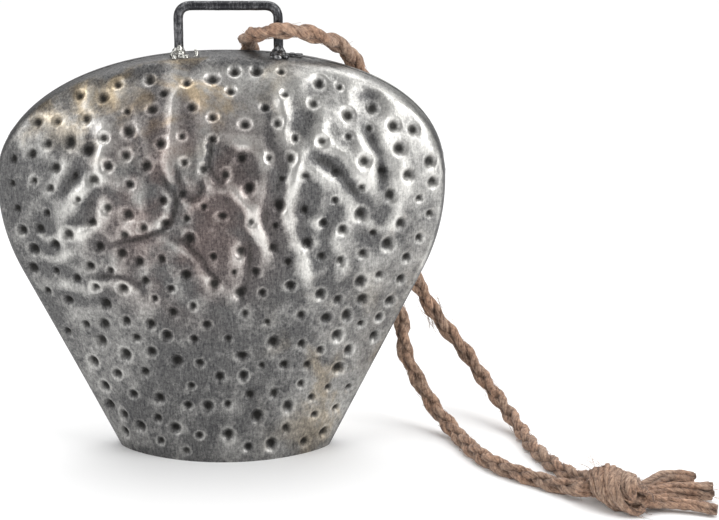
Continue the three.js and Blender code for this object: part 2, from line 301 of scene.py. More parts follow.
cord_side = (0.3, 0.2, 1.0)
plait_pitch = 42.0 * MM
plait_swing_wide = 1.9 * MM
plait_swing_deep = 1.15 * MM
pulled_yarn_radius = 1.85 * MM
loose_yarn_radius = 2.15 * MM
loose_from = 0.24
loose_to = 0.50

# The yarns are pulled thin along the ground and lie looser round the handle
cord_run = length_along(cord_line)
near_handle = smooth((cord_run - loose_from) / 0.05) * smooth((loose_to - cord_run) / 0.06)
yarn_radius = mix(pulled_yarn_radius, loose_yarn_radius, near_handle)[:, None]
points, faces, fibre = join_parts(
    plait(cord_line, cord_side, 2, yarn_radius, plait_swing_wide, plait_swing_deep, plait_pitch))
points[:, 2] = np.maximum(points[:, 2], 0.1 * MM)
outside = openness(points, cord_line, 1.5 * MM, 3.1 * MM)
cord = make_piece("jute_plait", points, faces, "bell", {"open": outside}, {"fibre": fibre})
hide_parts("cord")

# %% [markdown]
# ## The knot
#
# Both ends of the plait are tied together in one overhand knot, pulled tight: the doubled cord goes
# in, wraps diagonally round itself and comes out as loose strands. A cloth or rope simulation could
# pull a knot tight, but a path with the wraps placed by formula gives the same lump with control over
# how the wraps lie.

# %% Knot
knot_start = np.array([0.1665, -0.0800, 0.0096])
knot_end = np.array([0.1770, -0.0910, 0.0076])
knot_axis = (knot_end - knot_start) / np.linalg.norm(knot_end - knot_start)
knot_side = np.cross(knot_axis, upright)
knot_side /= np.linalg.norm(knot_side)
knot_up = np.cross(knot_side, knot_axis)


def wrap_line(turns, radius, start_angle, start_along, end_along):
    """A steep helix round the knot's axis, which dives into the knot at both ends and swells in the
    middle as a tight wrap does. Gives the line and the outward direction."""
    t = np.linspace(0.0, 1.0, 60)
    angle = start_angle - 2.0 * np.pi * turns * t
    outward = np.cos(angle)[:, None] * knot_side + np.sin(angle)[:, None] * knot_up
    reach = radius * (0.30 + 0.70 * np.sin(np.pi * t) ** 0.55)
    along = mix(start_along, end_along, t)
    return 0.5 * (knot_start + knot_end) + along[:, None] * knot_axis + reach[:, None] * outward, outward


def wrapped_yarns(line, outward, count, radius, seed):
    """Yarns side by side along a wrap, with the middle ones riding higher, each wandering a little."""
    beside = np.cross(heading_along(line), outward)
    run = length_along(line)
    parts = []
    for k in range(count):
        place = (k - 0.5 * (count - 1)) / (0.5 * count)
        wander = 0.75 * radius * hills(run / (5.0 * MM) + seed, 2.5 + 2 * k + 0.0 * run, seed)
        aside = 0.5 * count * 1.62 * radius * place + wander
        lift = 1.1 * radius * (1.0 - place ** 2) + 0.5 * wander[::-1]
        strand = line + aside[:, None] * beside + lift[:, None] * outward
        thick = radius * (1.0 + 0.22 * math.sin(2.4 * k + seed))
        parts.append(yarn(strand, knot_axis, thick, seed + k, ply_pitch=14.0 * MM, sides=16))
    return parts


strand_step = 0.7 * MM
core_apart = 2.0 * MM
wrap_turns = 0.62
wrap_radius = 5.6 * MM
wrap_yarn_radius = 1.35 * MM

# Wraps of the knot: start angle in degrees, start and end along the axis in millimetres, yarns
wraps = [(215.0, -13.0, 9.5, 6), (105.0, -12.5, 13.0, 6), (-10.0, -12.0, 12.0, 7)]


def knot_parts():
    """Two plaits that go into the knot, and three broad wraps that lie diagonally over them."""
    parts = []
    middle = 0.5 * (knot_start + knot_end)
    for ends, sign, seed in ((cord_line[:7], -1, 3), (cord_line[:-8:-1], 1, 7)):
        offset = sign * core_apart * knot_side
        corners = np.array([ends[6], ends[0], knot_start + offset, middle + offset])
        core = curve_through(corners, strand_step)
        parts += plait(core, knot_up, seed, yarn_radius=1.9 * MM, swing_wide=1.7 * MM,
                       swing_deep=1.1 * MM, pitch=36.0 * MM)
    for start_angle, start_along, end_along, count in wraps:
        line, outward = wrap_line(wrap_turns, wrap_radius, math.radians(start_angle),
                                  start_along * MM, end_along * MM)
        parts += wrapped_yarns(line, outward, count, wrap_yarn_radius, 31 + count)
    return parts


points, faces, fibre = join_parts(knot_parts())
points[:, 2] = np.maximum(points[:, 2], 0.2 * MM)
knot_line = np.linspace(knot_start - 12.0 * MM * knot_axis, knot_end + 6.0 * MM * knot_axis, 60)
outside = openness(points, knot_line, 4.6 * MM, 8.0 * MM)
in_plait = openness(points, knot_line, 2.0 * MM, 3.8 * MM) * (outside < 0.02)
outside = np.maximum(outside, in_plait)
knot = make_piece("jute_knot", points, faces, "bell", {"open": outside}, {"fibre": fibre})
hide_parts("cord_knot")

# %% [markdown]
# ## Undone strands
#
# Past the knot the plait has come undone into three bundles of loose yarn, cut off bluntly. Hair
# could make them, but a few dozen thin tubes that follow each bundle and wander slowly about it keep
# their cut ends in view and stay light.

# %% Tails
# For each tail its radius, how many yarns it has and its route in metres
tail_routes = {
    "upper": (3.7 * MM, 8, [
        [0.1760, -0.0890, 0.0080], [0.1832, -0.0838, 0.0092], [0.1915, -0.0735, 0.0090],
        [0.1990, -0.0685, 0.0076], [0.2065, -0.0650, 0.0056]]),
    "middle": (4.7 * MM, 16, [
        [0.1755, -0.0900, 0.0075], [0.1850, -0.0862, 0.0060], [0.1940, -0.0808, 0.0056],
        [0.2030, -0.0790, 0.0050], [0.2132, -0.0788, 0.0050]]),
    "lower": (2.9 * MM, 6, [
        [0.1755, -0.0915, 0.0060], [0.1845, -0.0905, 0.0042], [0.1930, -0.0895, 0.0036],
        [0.2030, -0.0915, 0.0032], [0.2122, -0.0955, 0.0030]]),
}
tail_lines = {}
for label, (_, _, route) in tail_routes.items():
    tail_lines[label] = curve_through(np.array(route), strand_step)


def bundle(line, radius, count, seed):
    """Yarns side by side along a line, placed across it as seeds in a sunflower: each turns slowly
    round the bundle, wanders a little and ends bluntly at its own length."""
    rng = np.random.default_rng(seed)
    _, side, up = frames_along(line, upright)
    thick = 1.22 * radius / math.sqrt(count)
    golden_angle = math.radians(137.5)
    parts = []
    for k in range(count):
        t = np.linspace(0.0, 1.0, len(line))[:len(line) - rng.integers(0, 4)]
        angle = golden_angle * k + 1.1 * t + 0.6 * hills(3.0 * t + k, 4.5 + 0.0 * t, seed + k)
        ring = (radius - thick) * math.sqrt((k + 0.5) / count) * (0.92 + 0.16 * t)
        strand = (line[:len(t)] + (ring * np.cos(angle))[:, None] * side[:len(t)]
                  + (ring * np.sin(angle))[:, None] * up[:len(t)])
        parts.append(yarn(strand, upright, thick, seed + k, ply_pitch=16.0 * MM, sides=14, blunt=0.12))
    return parts


tails = {}
for label, (radius, count, _) in tail_routes.items():
    points, faces, fibre = join_parts(bundle(tail_lines[label], radius, count, 20 + count))
    points[:, 2] = np.maximum(points[:, 2], 0.2 * MM)
    outside = openness(points, tail_lines[label], 0.45 * radius, 1.0 * radius)
    name = "jute_tail_" + label
    tails[label] = make_piece(name, points, faces, "bell", {"open": outside}, {"fibre": fibre})
    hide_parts("cord_tail_" + label)

# %% [markdown]
# ## Stray fibres
#
# Jute is never clean: short fibres stand off every yarn. Each is a thin three-sided tube that leaves
# the surface and curls, drawn as geometry because a hair system would not travel with the mesh.

# %% Fibres
fibre_radius = 0.09 * MM
fibre_run = 8.0 * MM
fibre_bend = 3.0 * MM
fibre_steps = 7


def stray_fibres(line, first_side, count, reach, seed):
    """Thin curved three-sided tubes along a line: each starts near the surface, leans along the cord
    and lifts off it along a bend, with a random length and side."""
    rng = np.random.default_rng(seed)
    heading, side, up = frames_along(line, first_side)
    at = rng.integers(0, len(line), count)
    angle = rng.uniform(0.0, 2.0 * np.pi, count)[:, None]
    size = rng.uniform(0.35, 1.0, (count, 1, 1)) ** 1.5
    lean = np.sign(rng.normal(0.0, 1.0, (count, 1, 1)))
    curl = rng.normal(0.0, 0.8, (count, 1, 1))
    along = heading[at][:, None]
    outward = (np.cos(angle) * side[at] + np.sin(angle) * up[at])[:, None]
    around = np.cross(along, outward)

    s = np.linspace(0.0, 1.0, fibre_steps)[:, None]
    lift = reach * (0.72 + 0.5 * size * np.sin(0.5 * np.pi * s) * (1.0 - 0.35 * s))
    centre = (line[at][:, None] + lift * outward + size * s * fibre_run * lean * along
              + size * curl * s * s * fibre_bend * around)
    corner = np.linspace(0.0, 2.0 * np.pi, 3, endpoint=False)[:, None]
    ring = fibre_radius * (np.cos(corner) * outward[:, None] + np.sin(corner) * around[:, None])
    points = (centre[:, :, None] + ring).reshape(-1, 3)

    block = 3 * fibre_steps
    starts = block * np.arange(count)[:, None]
    quads = grid_faces(fibre_steps, 3, around=True)[None] + starts[..., None]
    first_caps = np.array([2, 1, 0]) + starts
    last_caps = np.array([0, 1, 2]) + block - 3 + starts
    fibre = np.repeat(rng.uniform(0.0, 9.0, (count, 3)), block, axis=0)
    return points, [quads.reshape(-1, 4), first_caps, last_caps], fibre


# Where the plait is chafed it has a tuft of its own
tuft_spot = (0.0975, 0.0525, 0.046)
tuft_at = int(np.argmin(np.linalg.norm(cord_line - tuft_spot, axis=1)))
points, faces, fibre = join_parts([
    stray_fibres(cord_line, cord_side, count=1500, reach=3.2 * MM, seed=5),
    stray_fibres(knot_line, cord_side, count=160, reach=8.0 * MM, seed=6),
    stray_fibres(cord_line[tuft_at - 3:tuft_at + 4], cord_side, count=50, reach=5.2 * MM, seed=8),
    stray_fibres(tail_lines["middle"], upright, count=120, reach=4.4 * MM, seed=7),
])
points[:, 2] = np.maximum(points[:, 2], 0.1 * MM)
on_top = np.ones(len(points))
fuzz = make_piece("jute_fuzz", points, faces, "bell", {"open": on_top}, {"fibre": fibre})

# %% [markdown]
# ## The bell's outline and depth
#
# Each half of the bell is one pressed sheet: straight sides that slope out from the mouth, a rounded
# belly, and a crown like a flattened arch. From its rim the sheet first turns up as a short wall and
# then bulges into the face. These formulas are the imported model's own, so the fine surface lies on
# the plain one.

# %% Shape of the sheet
sheet = 1.2 * MM
rim_face = 0.9 * MM
mouth_half_width = 47.9 * MM
side_slope = 0.504
belly_height = 124.0 * MM
belly_half_width = 99.6 * MM
belly_radius = 90.0 * MM
crown_rise = 57.5 * MM
crown_power = 2.2
crown_shift = 3.3 * MM
wall_depth_mouth = 2.0 * MM
wall_depth_crown = 7.5 * MM
wall_full_height = 115.0 * MM
wall_corner = 3.5 * MM
wall_power = 3.0
face_rise_mouth = 25.1 * MM
face_rise_belly = 27.6 * MM
face_full_height = 110.0 * MM
face_power_mouth = 0.78
face_power_height = 60.0 * MM


def side_at(z):
    """Half the width and its change with height, below the belly: a straight side, then an arc."""
    straight_top = belly_height - belly_radius * math.sin(math.atan(side_slope))
    below = np.maximum(belly_height - z, 0.0)
    reach = np.sqrt(np.maximum(belly_radius ** 2 - below ** 2, 1e-9))
    straight = z <= straight_top
    half = np.where(straight, mouth_half_width + side_slope * z, belly_half_width - belly_radius + reach)
    return half, np.where(straight, side_slope, below / reach)


def nearness(x, z):
    """The fraction of the way out to the outline, and the distance left to it."""
    across = np.abs(x)
    half, change = side_at(np.minimum(z, belly_height))
    out_low = across / half
    steep_low = np.hypot(1.0, out_low * change) / half
    u = across / belly_half_width
    v = np.maximum(z - belly_height, 0.0) / crown_rise
    out_high = np.maximum((u ** crown_power + v ** crown_power) ** (1.0 / crown_power), 1e-6)
    pull = np.hypot(u ** (crown_power - 1.0) / belly_half_width, v ** (crown_power - 1.0) / crown_rise)
    steep_high = np.maximum(out_high ** (1.0 - crown_power) * pull, 1e-6)
    low = z <= belly_height
    out = np.where(low, out_low, out_high)
    return out, np.maximum(1.0 - out, 0.0) / np.where(low, steep_low, steep_high)


def depth_at(x, z):
    """Depth of one half from its rim: a wall with a rounded corner, and the bulging face."""
    out, left = nearness(x, z)
    wall = mix(wall_depth_mouth, wall_depth_crown, smooth(z / wall_full_height))
    corner = 1.0 - np.clip(left / wall_corner, 0.0, 1.0)
    face = mix(face_rise_mouth, face_rise_belly, smooth(z / face_full_height))
    power = mix(face_power_mouth, 1.0, smooth(z / face_power_height))
    bulge = np.maximum(1.0 - out ** 2, 0.0) ** power
    return wall * (1.0 - corner ** wall_power) ** (1.0 / wall_power) + face * bulge, left


def lean_at(z):
    """Above the belly the outline leans a little to one side."""
    return crown_shift * smooth((z - belly_height) / crown_rise)


print("bell", round(2000.0 * belly_half_width), "mm wide,",
      round(1000.0 * (belly_height + crown_rise), 1), "mm high at the crown")


# %% Rows and columns of the fine grid
low_rows = 168
high_rows = 96
columns = 290
print("points on one outer face:", (low_rows + high_rows) * (columns + 1))


def sheet_grid(side):
    """Points of one half's outer face: rows up the bell, columns across it, crowded at the outline."""
    low_z = belly_height * np.arange(low_rows) / low_rows
    turn = 0.5 * np.pi * np.arange(high_rows) / high_rows
    z = np.concatenate([low_z, belly_height + crown_rise * np.sin(turn) ** (2.0 / crown_power)])
    half = np.concatenate([side_at(low_z)[0], belly_half_width * np.cos(turn) ** (2.0 / crown_power)])
    t = np.linspace(-1.0, 1.0, columns + 1)
    crowded = np.sin(0.5 * np.pi * t)
    across = mix(mix(t, crowded, 0.45), crowded, np.abs(t) ** 8)
    x = half[:, None] * across[None, :]
    z = z[:, None] + 0.0 * x
    depth, left = depth_at(x, z)
    depth[:, [0, -1]] = 0.0
    left[:, [0, -1]] = 0.0
    return np.stack([x + lean_at(z), side * (rim_face + depth), z], axis=-1), left


# %% [markdown]
# ## Dents and creases
#
# The sheet was worked from the outside: a round punch made over two hundred pits in each half, and
# hammering left creases that run mostly up and down. Displacement by a texture could do this, but the
# pits must keep their size over the bulging face, so each one is measured in space from its own
# centre. The centres are scattered at random, never closer than a set distance, as a person placing
# blows by eye would.

# %% Where the blows fell
punched_half_width = 97.0
punched_low = 4.0
punched_high = 179.0
clear_of_rim = 5.0 * MM


def scatter(seed, spacing, tries):
    """Places (across, up) on the face, at random but never closer together than the spacing."""
    rng = np.random.default_rng(seed)
    kept = np.empty((0, 3))
    places_across = rng.uniform(-punched_half_width, punched_half_width, tries) * MM
    places_up = rng.uniform(punched_low, punched_high, tries) * MM
    for x, z in zip(places_across, places_up):
        depth, left = depth_at(np.array([x]), np.array([z]))
        spot = np.array([x + lean_at(z), depth[0] + rim_face, z])
        if left[0] > clear_of_rim and np.all(np.linalg.norm(kept - spot, axis=1) > spacing):
            kept = np.vstack([kept, spot])
    return kept


# %% Creases
# Each crease has its height, its width and the points it runs through (across, up), in millimetres
front_creases = [
    (1.7, 3.2, [(-51, 158), (-51, 146), (-52, 133), (-57, 126), (-63, 119), (-66, 110)]),
    (1.6, 3.0, [(-48, 128), (-50, 121), (-52, 112), (-61, 104), (-68, 98)]),
    (0.9, 2.8, [(-84, 103), (-76, 101), (-68, 104), (-60, 109)]),
    (0.8, 2.8, [(-86, 94), (-74, 92), (-64, 97), (-56, 100)]),
    (0.9, 3.0, [(-75, 82), (-66, 79), (-57, 79), (-53, 88)]),
    (1.3, 3.0, [(24, 172), (27, 166), (29, 158), (29, 150), (31, 141)]),
    (1.8, 3.0, [(38, 152), (36, 142), (33, 131), (30, 118), (33, 105), (37, 94), (40, 80), (41, 68)]),
    (1.5, 2.6, [(-1, 136), (5, 128), (12, 121), (15, 113), (20, 104), (24, 94)]),
    (0.9, 2.5, [(1, 151), (11, 147), (20, 141), (25, 133)]),
    (1.1, 3.2, [(44, 166), (46, 156), (46, 147), (53, 142), (62, 131), (69, 120), (72, 108)]),
    (0.9, 3.0, [(34, 165), (43, 161), (52, 158), (58, 152)]),
    (1.0, 2.8, [(53, 116), (51, 104), (55, 92), (53, 80)]),
    (0.9, 2.8, [(62, 114), (68, 107), (75, 106), (80, 113)]),
    (0.9, 2.8, [(41, 116), (44, 106), (41, 96)]),
    (0.8, 3.2, [(76, 144), (81, 130), (79, 114), (73, 99)]),
    (-1.5, 2.5, [(62, 156), (65, 150), (69, 141), (72, 131), (70, 121)]),
    (-1.3, 2.8, [(38, 142), (50, 136), (58, 127), (64, 116)]),
    (-1.7, 1.4, [(-26, 142), (-23, 131), (-18, 124), (-21, 112), (-30, 106), (-39, 103), (-55, 99)]),
    (-1.6, 1.4, [(-5, 152), (-3, 146), (-3, 135), (4, 129), (7, 122)]),
    (-1.3, 1.4, [(-18, 144), (-17, 132), (-12, 123), (-7, 126), (-7, 139)]),
    (-1.4, 1.4, [(-24, 108), (-16, 104), (-9, 98), (-3, 89), (7, 82)]),
    (-1.2, 1.5, [(12, 106), (14, 95), (12, 83), (8, 71)]),
    (-1.1, 1.5, [(-60, 84), (-46, 86), (-37, 84), (-30, 75)]),
    (-1.0, 2.5, [(22, 126), (21, 114), (25, 102), (28, 90)]),
    (-0.8, 2.8, [(-60, 142), (-63, 130), (-72, 117)]),
]
print("creases on the front:", len(front_creases))


def box_blur(values, reach):
    """Each value's mean over a square of neighbours, with the edges held."""
    for axis in (0, 1):
        padded = np.pad(values, [(reach + 1, reach) if k == axis else (0, 0) for k in (0, 1)], mode="edge")
        total = np.cumsum(padded, axis=axis)
        count = values.shape[axis]
        high = np.take(total, np.arange(2 * reach + 1, 2 * reach + 1 + count), axis=axis)
        low = np.take(total, np.arange(count), axis=axis)
        values = (high - low) / (2 * reach + 1)
    return values


def crease_relief(x, z, creases):
    """Height of the creases at each place. Each follows a line of points: a rounded ridge on the
    line, or a groove if its height is negative, with a shallower fold of the other kind along one
    side, as in crumpled sheet. It falls off as a bell curve and fades at both ends."""
    total = np.zeros_like(x)
    for height, width, corners in creases:
        line = curve_through(np.array([(a * MM, 0.0, b * MM) for a, b in corners]), 1.2 * MM)
        t = np.linspace(0.0, 1.0, len(line))
        line[:, 0] += 1.1 * MM * hills(8.0 * t + 3.0, 0.5 + 0.0 * t, len(corners))
        strength = smooth(t * 3.5) * smooth((1.0 - t) * 3.5) * (0.8 + 0.2 * hills(7.0 * t, 3.5 + 0.0 * t, 4))
        heading = heading_along(line)
        best = np.full_like(x, np.inf)
        fold = np.zeros_like(x)
        for spot, power, along in zip(line, strength, heading):
            gap_x, gap_z = (x - spot[0]) / (width * MM), (z - spot[2]) / (width * MM)
            away = gap_x ** 2 + gap_z ** 2
            signed = np.sqrt(away) * np.sign(gap_x * along[2] - gap_z * along[0])
            profile = np.exp(-np.abs(signed) ** 1.6) - 0.45 * np.exp(-((signed - 2.1) / 1.1) ** 2)
            nearer = away < best
            fold = np.where(nearer, power * profile, fold)
            best = np.minimum(best, away)
        total += height * MM * fold
    return box_blur(total, 1)


# %% The worked face
blows_tried = 3000
dent_spacing = 8.7 * MM
dent_sizes = (1.9, 3.25)
dent_depth_shares = (0.66, 0.88)
deepest_dent = 3.0 * MM
deepest_inside = 2.2 * MM


def outward_normal(base, side):
    """The face's normal at each point, square to its steps along the rows and up the columns."""
    normal = np.cross(np.gradient(base, axis=1), np.gradient(base, axis=0))
    normal /= np.maximum(np.linalg.norm(normal, axis=-1, keepdims=True), 1e-12)
    return normal * np.sign(side) * np.sign(normal[..., 1:2].mean())


def slow_waves(x, z, seed):
    """Uneven height of the sheet between the creases: two layers of hills and one of soft ridges,
    which lie where a third layer crosses zero. The waves are lower toward the mouth."""
    u, v = x / MM, z / MM
    waves = 0.80 * hills(u / 17.0, v / 28.0, seed) + 0.40 * hills(u / 8.5 + 7.0, v / 14.0, seed + 1)
    ridge_lines = hills(u / 13.0 + 3.0, v / 20.0 + 0.3 * hills(u / 9.0, v / 9.0, 5), seed + 2)
    waves += 0.9 * (0.6 - np.abs(ridge_lines))
    return waves * MM * mix(0.28, 1.0, smooth((v - 45.0) / 60.0))


def punched_dents(base, side, seed):
    """The height of the dents, a mask for their pits and one for a painted highlight ring round each. A
    dent falls by a smooth step inside 1.35 times its size, within a wider and shallower bell curve."""
    rng = np.random.default_rng(seed + 9)
    dent, pit, dent_ring_glint = np.zeros((3,) + base.shape[:2])
    centres = scatter(seed, dent_spacing, blows_tried)
    for centre in centres:
        size = rng.uniform(*dent_sizes) * MM
        deep = rng.uniform(*dent_depth_shares) * size
        squeeze = 1.0 + 0.06 * rng.normal()
        glint_strength = rng.uniform(0.2, 1.0)
        gap = base - centre * (1.0, side, 1.0)
        away = np.sqrt((gap[..., 0] * squeeze) ** 2 + gap[..., 1] ** 2 + (gap[..., 2] / squeeze) ** 2)
        bowl = 0.30 * np.exp(-(away / (2.1 * size)) ** 2)
        dent -= deep * (1.0 - smooth(away / (1.35 * size)) + bowl)
        pit = np.maximum(pit, 1.0 - smooth((away / size - 0.35) / 0.58))
        # painted highlight: a bright ring round each dent, in place of the glint on its rim
        dent_ring_glint = np.maximum(dent_ring_glint, glint_strength * np.exp(-((away / size - 1.22) / 0.25) ** 2))
    print("dents on one half:", len(centres))
    return dent, pit, dent_ring_glint


def worked_sheet(side, seed, creases):
    """The worked face: dents, creases and slow waves, all along the face's own normal and fading out
    toward the rim and the mouth. The inner face follows one sheet thickness behind, less far under the
    deepest dents, where the metal is stretched thin and the clapper needs room. Gives the outer
    points, the inner points and the masks for the patina and for a painted highlight ring round each
    dent."""
    base, left = sheet_grid(side)
    normal = outward_normal(base, side)
    x, z = base[..., 0], base[..., 2]
    crease = crease_relief(x, z, creases)
    relief = slow_waves(x, z, seed) + crease
    groove = smooth(((box_blur(crease, 4) - crease) / MM - 0.14) / 0.36)
    dent, pit, dent_ring_glint = punched_dents(base, side, seed)

    keep = smooth((left - 0.8 * MM) / (4.5 * MM)) * smooth((z - 0.5 * MM) / (5.0 * MM))
    pressed = np.maximum(relief + dent, -deepest_dent)
    outer = base + (keep * pressed)[..., None] * normal
    inner = base + (keep * np.maximum(pressed, -deepest_inside) - sheet)[..., None] * normal
    masks = {
        "relief": relief / MM * keep,
        "pit": np.maximum(pit, 0.6 * groove) * keep,
        # painted highlight ring round each dent
        "dent_ring_glint": dent_ring_glint * keep,
        "left": left / MM,
    }
    return outer, inner, masks


# %% [markdown]
# ## Two half shells
#
# Each half is closed: the worked outer face, an inner face one sheet thickness behind it, and narrow
# strips along the rim and the mouth. The inner face has every second point only, since nobody looks
# closely inside a bell.

# %% Rubbed places, painted highlights and painted shade
def wear_and_light_map(outer, masks, seed):
    """How bright each place is, below zero where it stays dark: raised places are worn bright, the
    rings of the dents and the edge over the right shoulder are painted highlight, and a band along
    the top edge on the other side is painted shade."""
    x, z, left = outer[..., 0], outer[..., 2], masks["left"]
    wear_and_painted_light = masks["relief"] - box_blur(masks["relief"], 9) + 0.42 * masks["dent_ring_glint"]
    # painted highlight: a bright line just inside the rim over the right shoulder
    edge = np.exp(-((left - 2.1) / 0.7) ** 2) * smooth((z - 60.0 * MM) / (60.0 * MM))
    shoulder = smooth((x - 15.0 * MM) / (30.0 * MM))
    uneven = 1.0 + hills(x / (11.0 * MM), z / (11.0 * MM), seed + 4)
    # painted shade: a darker band along the top edge, away from the right shoulder
    top_band_shade = smooth((7.0 - left) / 4.0) * smooth((z - 145.0 * MM) / (25.0 * MM))
    return wear_and_painted_light + 0.42 * edge * shoulder * uneven - 0.42 * top_band_shade * (1.0 - shoulder)


# %% Half shells
def rim_strip(outer_edge, inner_edge, inner_rows, crown_out, crown_in, turned):
    """Faces between the outer and the inner grid along one edge, and one that closes the crown. Each
    takes two inner points and all the outer points between them."""
    strip = []
    for k in range(len(inner_rows) - 1):
        fine = outer_edge[inner_rows[k]:inner_rows[k + 1] + 1].tolist()
        strip.append([inner_edge[k + 1], inner_edge[k]] + fine)
    strip.append([outer_edge[-1], crown_out, crown_in, inner_edge[-1]])
    return [np.array([face[::-1] if turned else face]) for face in strip]


def half_shell(name, side, seed, creases):
    """One closed half: outer grid, coarser inner grid, crown points, rim strips and mouth strip."""
    outer, inner, masks = worked_sheet(side, seed, creases)
    rows, wide = outer.shape[:2]
    inner_rows = np.unique(np.append(np.arange(0, rows, 2), rows - 1))
    inner = inner[np.ix_(inner_rows, np.arange(0, wide, 2))]
    inner[..., 1] = side * np.maximum(side * inner[..., 1], rim_face)
    inner[:, [0, -1], 1] = side * rim_face
    inner[0, :, 2] = 0.0
    top = belly_height + crown_rise
    crown = [[lean_at(top), side * rim_face, top], [lean_at(top), side * rim_face, top - sheet]]

    inner_wide = inner.shape[1]
    start = rows * wide
    outer_at = np.arange(start).reshape(rows, wide)
    inner_at = start + np.arange(len(inner_rows) * inner_wide).reshape(len(inner_rows), inner_wide)
    crown_out = start + inner_at.size
    crown_in = crown_out + 1
    mouth = [outer_at[0, 2::2], outer_at[0, 1::2], outer_at[0, :-1:2], inner_at[0, :-1], inner_at[0, 1:]]
    faces = [
        grid_faces(rows, wide),
        start + grid_faces(len(inner_rows), inner_wide)[:, ::-1],
        np.stack([outer_at[-1, :-1], outer_at[-1, 1:], np.full(wide - 1, crown_out)], axis=1),
        np.stack([inner_at[-1, 1:], inner_at[-1, :-1], np.full(inner_wide - 1, crown_in)], axis=1),
        np.stack(mouth, axis=1),
    ]
    for column, turned in ((0, False), (-1, True)):
        faces += rim_strip(outer_at[:, column], inner_at[:, column], inner_rows, crown_out, crown_in, turned)
    if side > 0:
        faces = [group[:, ::-1] for group in faces]

    def with_inner(values, inside):
        """The outer points' values, and one and the same value for every inner and crown point."""
        return np.concatenate([values.ravel(), np.full(inner_at.size + 2, inside)])

    points = np.vstack([outer.reshape(-1, 3), inner.reshape(-1, 3), crown])
    values = {
        "pit": with_inner(masks["pit"], 0.0),
        # wear, with painted highlights and painted shade mixed in
        "wear_and_painted_light": with_inner(wear_and_light_map(outer, masks, seed), -0.3),
        # painted shade: the narrow band along the rim, darkened in the pewter
        "rim": with_inner(1.0 - smooth((masks["left"] - 0.4) / 1.3), 0.0),
        "inside": with_inner(np.zeros(start), 1.0),
    }
    return make_piece(name, points, faces, "bell", values=values)


front = half_shell("front_sheet", -1, 41, front_creases)
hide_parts("front_shell")

# The back has every second crease, mirrored and a little lower
back_creases = []
for height, width, corners in front_creases[::2]:
    back_creases.append((height, width, [(-a, b - 9) for a, b in corners]))
back = half_shell("back_sheet", 1, 77, back_creases)
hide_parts("back_shell")

# %% [markdown]
# ## The brazed seam
#
# The two halves are joined by a thin run of braze between their rims. It shows as a dull, slightly
# rippled line in the middle of the bell's edge. It is a tube carried along the outline, with ripples
# where the torch stopped and went on.

# %% Seam
def outline_path(inset):
    """Points along the bell's outline at an inset: up one side, over the crown, down the other."""
    low_z = belly_height * np.linspace(0.002, 1.0, 160, endpoint=False)
    turn = np.linspace(0.0, 0.5 * np.pi, 161)
    z = np.concatenate([low_z, belly_height + (crown_rise - inset) * np.sin(turn) ** (2.0 / crown_power)])
    half = np.concatenate([side_at(low_z)[0], belly_half_width * np.cos(turn) ** (2.0 / crown_power)])
    x = np.concatenate([-(half - inset), (half - inset)[-2::-1]])
    z = np.concatenate([z, z[-2::-1]])
    return np.stack([x + lean_at(z), 0.0 * x, z], axis=1)


def metal_rod(line, first_side, radius, seed, sides=20, uneven=0.03, ripple=0.0, ripple_step=1.5 * MM):
    """A round wire along a line, a little uneven as drawn and hammered wire is, closed at its ends.
    ripple adds rounded rings one step apart, as a bead of filler metal has."""
    _, side, up = frames_along(line, first_side)
    run = length_along(line)[:, None]
    around = np.linspace(0.0, 2.0 * np.pi, sides, endpoint=False)[None, :]
    rough = uneven * hills(run / (1.9 * radius) + seed, 4.0 + 1.5 * np.cos(around), seed)
    rough = rough + 0.5 * uneven * hills(run / (0.8 * radius), 14.0 + 2.5 * np.sin(around), seed + 1)
    rough = rough + ripple * np.abs(np.sin(np.pi * run / ripple_step + 0.6 * np.cos(around)))
    return tube(line, side, up, around, radius * (1.0 + rough))


to_back = (0.0, 1.0, 0.0)
seam_radius = 0.93 * MM
seam_inset = 0.95 * MM
seam_line = curve_through(outline_path(seam_inset), 0.55 * MM)
points, faces = metal_rod(seam_line, to_back, seam_radius, seed=3, sides=12, uneven=0.16, ripple=0.12)
points[:, 2] = np.maximum(points[:, 2], 0.0)
seam = make_piece("seam_bead", points, faces, "bell")
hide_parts("seam_braze")

# %% [markdown]
# ## Handle and welds
#
# The handle is one round wire bent twice and welded to the seam. Bending leaves it not quite straight
# and the drawing die leaves fine marks, so its radius wanders by a few hundredths. The welds are
# lumps of several drops that ran together; the left one ended in a small curl of filler wire.

# %% Handle
handle_low, handle_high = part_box("handle_wire")
handle_radius = 2.1 * MM
handle_left = handle_low.x + handle_radius
handle_right = handle_high.x - handle_radius
handle_bar = handle_high.z - handle_radius


def bent_path(corners, bend, spacing):
    """Straight runs between corners, each corner rounded by a curve that starts and ends a bend's
    length away from it."""
    corners = np.array(corners, float)
    points = [corners[0]]
    for before, corner, after in zip(corners[:-2], corners[1:-1], corners[2:]):
        start = corner + bend * (before - corner) / np.linalg.norm(before - corner)
        end = corner + bend * (after - corner) / np.linalg.norm(after - corner)
        t = np.linspace(0.0, 1.0, 16)[:, None]
        points += list((1 - t) ** 2 * start + 2 * t * (1 - t) * corner + t ** 2 * end)
    return even_steps(np.array(points + [corners[-1]]), spacing)


handle_line = bent_path([
    (handle_left, 0, handle_low.z), (handle_left, 0, handle_bar),
    (handle_right, 0, handle_bar), (handle_right, 0, handle_low.z)], bend=6.0 * MM, spacing=0.5 * MM)
handle_run = length_along(handle_line)
handle_line[:, 0] += 0.15 * MM * hills(handle_run / (14 * MM), 0.5 + 0.0 * handle_run, 8)
points, faces = metal_rod(handle_line, to_back, handle_radius, seed=5, sides=28)
handle = make_piece("handle_bow", points, faces, "bell")
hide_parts("handle_wire")


